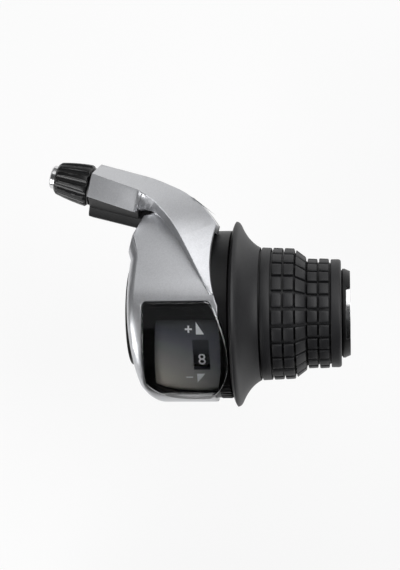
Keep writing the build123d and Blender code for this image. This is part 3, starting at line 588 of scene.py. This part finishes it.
def numberMark(gear):
    deselectAll()
    bpy.ops.object.text_add()
    mark = bpy.context.object
    mark.data.body = str(gear)
    mark.data.align_x = "CENTER"
    mark.data.align_y = "CENTER"
    mark.data.size = gearNumbers["height"] * mm / gearNumbers["heightShare"]
    mark.data.extrude = gearNumbers["ink"] * mm
    bpy.ops.object.convert(target="MESH")
    mark = bpy.context.object
    mark.name = "gear%d" % gear
    mark.scale.x = gearNumbers["narrow"]
    angle = gearNumbers["angle"] - (gearNumbers["count"] - gear) * gearNumbers["click"]
    radius = gearNumbers["radius"] + gearNumbers["lift"]
    return layRound(mark, gearNumbers["x"] * mm, angle, radius * mm)


numberMarks = [numberMark(gear) for gear in range(1, gearNumbers["count"] + 1)]
dress(joinPieces(numberMarks, "gearNumbers"), "twist_grip", printInk, None)
print("numbers laid on the indicator ring")

# Plus, minus and two half arrows: each place is mm along the bar and degrees towards the rider
displaySigns = {
    "radius": 23.4,
    "lift": 0.06,
    "barWidth": 0.5,
    "barLength": 2.0,
    "plus": (13.83, 10.0),
    "minus": (13.23, 48.4),
    "upArrow": [(15.94, 5.1), (15.93, 13.7), (18.21, 13.7)],
    "downArrow": [(15.29, 54.5), (15.49, 44.9), (17.79, 44.9)],
}
signRadius = displaySigns["radius"] + displaySigns["lift"]
barWidth, barLength = displaySigns["barWidth"], displaySigns["barLength"]


def barMark(name, place, width, height):
    deselectAll()
    bpy.ops.mesh.primitive_grid_add(x_subdivisions=2, y_subdivisions=4, size=mm)
    mark = bpy.context.object
    mark.name = name
    mark.scale = (width, height, 1)
    return layRound(mark, place[0] * mm, place[1], signRadius * mm)


def arrowMark(name, corners):
    deselectAll()
    bpy.ops.mesh.primitive_grid_add(x_subdivisions=6, y_subdivisions=1, size=1)
    mark = bpy.context.object
    mark.name = name
    tip, near, far = [Vector(corner) for corner in corners]
    for vertex in mark.data.vertices:
        down, across = vertex.co.x + 0.5, vertex.co.y + 0.5
        x, degrees = tip + (near - tip + (far - near) * across) * down
        vertex.co = roundBar(x * mm, degrees, signRadius * mm)
    bpy.ops.object.mode_set(mode="EDIT")
    bpy.ops.mesh.remove_doubles(threshold=weld)
    bpy.ops.object.mode_set(mode="OBJECT")
    return mark


signMarks = [
    barMark("plusAcross", displaySigns["plus"], barLength, barWidth),
    barMark("plusUpright", displaySigns["plus"], barWidth, barLength),
    barMark("minusAcross", displaySigns["minus"], barLength, barWidth),
    arrowMark("upArrow", displaySigns["upArrow"]),
    arrowMark("downArrow", displaySigns["downArrow"]),
]
signs = joinPieces(signMarks, "displaySigns")
dress(signs, "housing", printInk, None)
print("signs laid on the display")


# Floor, light and camera, in metres
stage = {
    "floor": -0.07,
    "floorSize": 3.0,
    "floorGlow": 0.85,  # share of plain white where the floor is seen
    "world": 0.1,
    "flagPlace": -0.13,
    "flagWidth": 0.14,
    "flagHeight": 0.5,
}
deselectAll()
bpy.ops.mesh.primitive_plane_add(size=stage["floorSize"], location=(0, 0, stage["floor"]))
floor = bpy.context.object
floor.name = "studioFloor"


def makeFloorPaper():
    # White studio sweep: bright where it is seen, with a little of the shadow kept
    material = newMaterial("whiteStudioPaper")[0]
    paper = addNode(material, "ShaderNodeBsdfPrincipled", {
        "Base Color": toLinear("#f2f2f2"), "Roughness": 0.9})
    glow = addNode(material, "ShaderNodeEmission", {"Color": toLinear("#ffffff"), "Strength": 1.0})
    rays = addNode(material, "ShaderNodeLightPath", {}).outputs
    seen = addNode(material, "ShaderNodeMath", {
        0: rays["Is Camera Ray"], 1: rays["Is Glossy Ray"]}, operation="MAXIMUM")
    seen = addNode(material, "ShaderNodeMath", {
        0: seen.outputs[0], 1: rays["Is Transmission Ray"]}, operation="MAXIMUM")
    share = addNode(material, "ShaderNodeMath", {
        0: seen.outputs[0], 1: stage["floorGlow"]}, operation="MULTIPLY")
    return surfaceOf(material, addNode(material, "ShaderNodeMixShader", {
        0: share.outputs[0], 1: paper.outputs[0], 2: glow.outputs[0]}))


floor.data.materials.append(makeFloorPaper())

# Black flag on the rider's side, unseen by the camera, which keeps the window dark
flagMiddle = stage["floor"] + stage["flagHeight"] / 2
deselectAll()
bpy.ops.mesh.primitive_plane_add(size=1, location=(0, stage["flagPlace"], flagMiddle))
flag = bpy.context.object
flag.name = "studioFlag"
flag.rotation_euler = (math.pi / 2, 0, 0)
flag.scale = (stage["flagWidth"], stage["flagHeight"], 1)
flag.visible_camera = False
flag.data.materials.append(makeMoulded(  # dead black that gives back no light
    "blackStudioCloth", ("#0a0a0a", "#101010"), rough=(0.9, 1.0), grain=1.0, depth=0.2, shine=0.1))

world = bpy.data.worlds.new("studioWorld")
bpy.context.scene.world = world
world.use_nodes = True
background = world.node_tree.nodes["Background"]
background.inputs["Color"].default_value = toLinear("#f4f6f8")
background.inputs["Strength"].default_value = stage["world"]

lamps = {
    "frontLamp": {
        "place": (0.16, 0.30, 0.28), "aim": (0.01, 0.01, 0.01), "size": 0.45, "power": 1.0},
    "outerLamp": {
        "place": (0.38, 0.06, 0.36), "aim": (0.02, 0.0, 0.0), "size": 0.30, "power": 1.2},
    "innerLamp": {
        "place": (-0.28, -0.24, 0.26), "aim": (0.01, 0.0, 0.0), "size": 0.30, "power": 1.5},
}
for lampName, lamp in lamps.items():
    light = bpy.data.lights.new(lampName, "AREA")
    light.energy = lamp["power"]
    light.size = lamp["size"]
    holder = bpy.data.objects.new(lampName, light)
    bpy.context.scene.collection.objects.link(holder)
    holder.location = lamp["place"]
    towards = Vector(lamp["aim"]) - Vector(lamp["place"])
    holder.rotation_euler = towards.to_track_quat("-Z", "Y").to_euler()

# Camera above the bar, a little outboard, with the photograph's slight roll
cameraSetup = {
    "place": (0.057353, 0.0, 0.397),
    "aim": (0.014706, 0.008735, 0.0),
    "roll": 0.5,
    "lens": 84.7,
    "sensor": 36,
    "nearest": 0.01,
}
camera = bpy.data.objects.new("photoCamera", bpy.data.cameras.new("photoCamera"))
bpy.context.scene.collection.objects.link(camera)
ahead = (Vector(cameraSetup["aim"]) - Vector(cameraSetup["place"])).normalized()
right = ahead.cross(Vector((0, 1, 0))).normalized()
up = right.cross(ahead)
turned = math.radians(cameraSetup["roll"])
rolledRight = right * math.cos(turned) - up * math.sin(turned)
rolledUp = up * math.cos(turned) + right * math.sin(turned)
axes = Matrix((rolledRight, rolledUp, -ahead)).transposed()
camera.matrix_world = Matrix.Translation(cameraSetup["place"]) @ axes.to_4x4()
camera.data.lens = cameraSetup["lens"]
camera.data.sensor_width = cameraSetup["sensor"]
camera.data.clip_start = cameraSetup["nearest"]
bpy.context.scene.camera = camera
bpy.context.scene.view_settings.view_transform = "Standard"
print("stage set")
